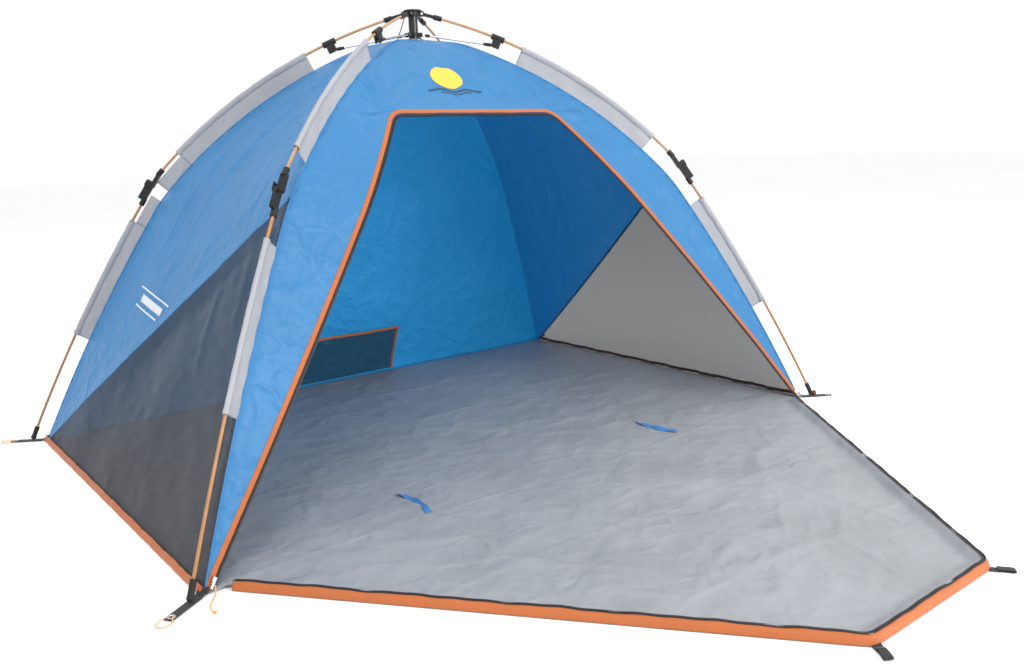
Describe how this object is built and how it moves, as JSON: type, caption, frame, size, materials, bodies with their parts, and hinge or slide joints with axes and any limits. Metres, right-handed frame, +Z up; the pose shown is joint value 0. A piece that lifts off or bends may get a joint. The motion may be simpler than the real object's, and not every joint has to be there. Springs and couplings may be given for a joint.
{
  "type": "pop-up tarp shelter",
  "caption": "Instant beach shelter with bent folding legs on an umbrella hub, a fabric canopy with mesh windows, a floor and a zipped door flap that opens out as a porch.",
  "frame": {"origin": "on the ground, under the floor, straight below the hub and at the centre of the rectangular floor", "axes": "+Z up; the door and its porch flap face -Y; +X runs to the right seen from the door"},
  "size_m": [2.4022, 2.6672, 1.3725],
  "materials": {
    "hub_plastic": "satin black moulded plastic",
    "post_plastic": "glossy black moulded plastic",
    "rivet_metal": "bright rivets and eyelets",
    "upper_pole": "smooth pultruded fibreglass, orange-tan",
    "lower_pole": "smooth pultruded fibreglass, darker orange",
    "strut_metal": "satin drawn tube",
    "canopy_blue": "coated polyester taffeta with a soft sheen",
    "back_blue": "coated polyester taffeta, seen from its inner face",
    "window_mesh": "open knitted mesh",
    "web_grey": "pale grey woven polyester",
    "floor_grey": "grey coated floor fabric",
    "trim_orange": "orange woven binding",
    "pocket_teal": "dark teal fabric",
    "ribbon_blue": "blue woven ribbon",
    "webbing_black": "black woven webbing",
    "cord_black": "thin braided cord",
    "cord_yellow": "yellow-orange braided cord"
  },
  "bodies": {
    "shelter": {"crown": "hub_plastic", "hub_post": "post_plastic", "crown_pins": "rivet_metal", "hub_cord": "cord_black", "left_panel": "canopy_blue", "left_mesh": "window_mesh", "right_panel": "canopy_blue", "right_mesh": "window_mesh", "back_panel": "back_blue", "door_header": "canopy_blue", "door_strip_left": "canopy_blue", "door_strip_right": "canopy_blue", "door_edging": "trim_orange", "groundsheet": "floor_grey", "base_hem": "trim_orange", "pocket": "pocket_teal", "floor_ties": "ribbon_blue", "pole_webs": "web_grey", "corner_straps": "webbing_black", "strap_eyelets": "rivet_metal"},
    "runner": {"runner": "hub_plastic"},
    "upper_leg_fl": {"socket_fl": "hub_plastic", "upper_pole_fl": "upper_pole", "collar_fl": "hub_plastic", "knee_upper_fl": "hub_plastic"},
    "lower_leg_fl": {"knee_lower_fl": "hub_plastic", "lower_pole_fl": "lower_pole", "foot_fl": "hub_plastic"},
    "strut_fl": {"strut_fl": "strut_metal"},
    "upper_leg_fr": {"socket_fr": "hub_plastic", "upper_pole_fr": "upper_pole", "collar_fr": "hub_plastic", "knee_upper_fr": "hub_plastic"},
    "lower_leg_fr": {"knee_lower_fr": "hub_plastic", "lower_pole_fr": "lower_pole", "foot_fr": "hub_plastic"},
    "strut_fr": {"strut_fr": "strut_metal"},
    "upper_leg_br": {"socket_br": "hub_plastic", "upper_pole_br": "upper_pole", "collar_br": "hub_plastic", "knee_upper_br": "hub_plastic"},
    "lower_leg_br": {"knee_lower_br": "hub_plastic", "lower_pole_br": "lower_pole", "foot_br": "hub_plastic"},
    "strut_br": {"strut_br": "strut_metal"},
    "upper_leg_bl": {"socket_bl": "hub_plastic", "upper_pole_bl": "upper_pole", "collar_bl": "hub_plastic", "knee_upper_bl": "hub_plastic"},
    "lower_leg_bl": {"knee_lower_bl": "hub_plastic", "lower_pole_bl": "lower_pole", "foot_bl": "hub_plastic"},
    "strut_bl": {"strut_bl": "strut_metal"},
    "porch": {"door_flap": "floor_grey", "flap_hem": "trim_orange", "flap_tabs": "webbing_black"},
    "zip_left": {"zip_slider_left": "rivet_metal", "zip_cord": "cord_yellow", "zip_toggle": "cord_yellow"},
    "zip_right": {"zip_slider_right": "rivet_metal"}
  },
  "joints": [
    {"name": "frame_fold", "type": "hinge", "parent": "shelter", "child": "upper_leg_fl", "pos_m": [-0.02489, -0.01674, 1.358], "axis": [0.5582, -0.8297, 0], "range_deg": [0, 56], "deforming": ["left_panel", "left_mesh", "right_panel", "right_mesh", "back_panel", "door_header", "door_strip_left", "door_strip_right", "door_edging", "groundsheet", "base_hem", "pocket", "floor_ties", "pole_webs", "corner_straps", "strap_eyelets", "hub_cord"]},
    {"name": "leg_fold_fr", "type": "hinge", "parent": "shelter", "child": "upper_leg_fr", "pos_m": [0.02489, -0.01674, 1.358], "axis": [0.5582, 0.8297, 0], "range_deg": [0, 56]},
    {"name": "leg_fold_br", "type": "hinge", "parent": "shelter", "child": "upper_leg_br", "pos_m": [0.02489, 0.01674, 1.358], "axis": [-0.5582, 0.8297, 0], "range_deg": [0, 56]},
    {"name": "leg_fold_bl", "type": "hinge", "parent": "shelter", "child": "upper_leg_bl", "pos_m": [-0.02489, 0.01674, 1.358], "axis": [-0.5582, -0.8297, 0], "range_deg": [0, 56]},
    {"name": "knee_fl", "type": "hinge", "parent": "upper_leg_fl", "child": "lower_leg_fl", "pos_m": [-0.74158, -0.49888, 0.84821], "axis": [-0.5582, 0.8297, 0], "range_deg": [0, 178]},
    {"name": "knee_fr", "type": "hinge", "parent": "upper_leg_fr", "child": "lower_leg_fr", "pos_m": [0.74158, -0.49888, 0.84821], "axis": [-0.5582, -0.8297, 0], "range_deg": [0, 178]},
    {"name": "knee_br", "type": "hinge", "parent": "upper_leg_br", "child": "lower_leg_br", "pos_m": [0.74158, 0.49888, 0.84821], "axis": [0.5582, -0.8297, 0], "range_deg": [0, 178]},
    {"name": "knee_bl", "type": "hinge", "parent": "upper_leg_bl", "child": "lower_leg_bl", "pos_m": [-0.74158, 0.49888, 0.84821], "axis": [0.5582, 0.8297, 0], "range_deg": [0, 178]},
    {"name": "runner_slide", "type": "slide", "parent": "shelter", "child": "runner", "axis": [0, 0, 1], "range_m": [0, 0.05]},
    {"name": "strut_hinge_fl", "type": "hinge", "parent": "runner", "child": "strut_fl", "pos_m": [-0.01908, -0.01284, 1.294], "axis": [0.5582, -0.8297, 0], "range_deg": [0, 69]},
    {"name": "strut_hinge_fr", "type": "hinge", "parent": "runner", "child": "strut_fr", "pos_m": [0.01908, -0.01284, 1.294], "axis": [0.5582, 0.8297, 0], "range_deg": [0, 69]},
    {"name": "strut_hinge_br", "type": "hinge", "parent": "runner", "child": "strut_br", "pos_m": [0.01908, 0.01284, 1.294], "axis": [-0.5582, 0.8297, 0], "range_deg": [0, 69]},
    {"name": "strut_hinge_bl", "type": "hinge", "parent": "runner", "child": "strut_bl", "pos_m": [-0.01908, 0.01284, 1.294], "axis": [-0.5582, -0.8297, 0], "range_deg": [0, 69]},
    {"name": "porch_hinge", "type": "hinge", "parent": "shelter", "child": "porch", "pos_m": [0, -0.7415, 0.0008], "axis": [-1, 0, 0], "range_deg": [0, 111]},
    {"name": "zip_left_run", "type": "hinge", "parent": "shelter", "child": "zip_left", "pos_m": [-1.6956, 4.7926, -0.788], "axis": [-0.7935, 0, 0.6086], "range_deg": [0, 13]},
    {"name": "zip_right_run", "type": "hinge", "parent": "shelter", "child": "zip_right", "pos_m": [1.6956, 4.7926, -0.788], "axis": [-0.7935, 0, -0.6086], "range_deg": [0, 13]}
  ],
  "couplings": [
    {"joint": "leg_fold_fr", "follows": "frame_fold", "ratio": 1},
    {"joint": "leg_fold_br", "follows": "frame_fold", "ratio": 1},
    {"joint": "leg_fold_bl", "follows": "frame_fold", "ratio": 1},
    {"joint": "knee_fl", "follows": "frame_fold", "ratio": 3.178},
    {"joint": "knee_fr", "follows": "frame_fold", "ratio": 3.178},
    {"joint": "knee_br", "follows": "frame_fold", "ratio": 3.178},
    {"joint": "knee_bl", "follows": "frame_fold", "ratio": 3.178},
    {"joint": "runner_slide", "follows": "frame_fold", "m_per_rad": 0.0508},
    {"joint": "strut_hinge_fl", "follows": "frame_fold", "ratio": 1.221},
    {"joint": "strut_hinge_fr", "follows": "frame_fold", "ratio": 1.221},
    {"joint": "strut_hinge_br", "follows": "frame_fold", "ratio": 1.221},
    {"joint": "strut_hinge_bl", "follows": "frame_fold", "ratio": 1.221}
  ]
}
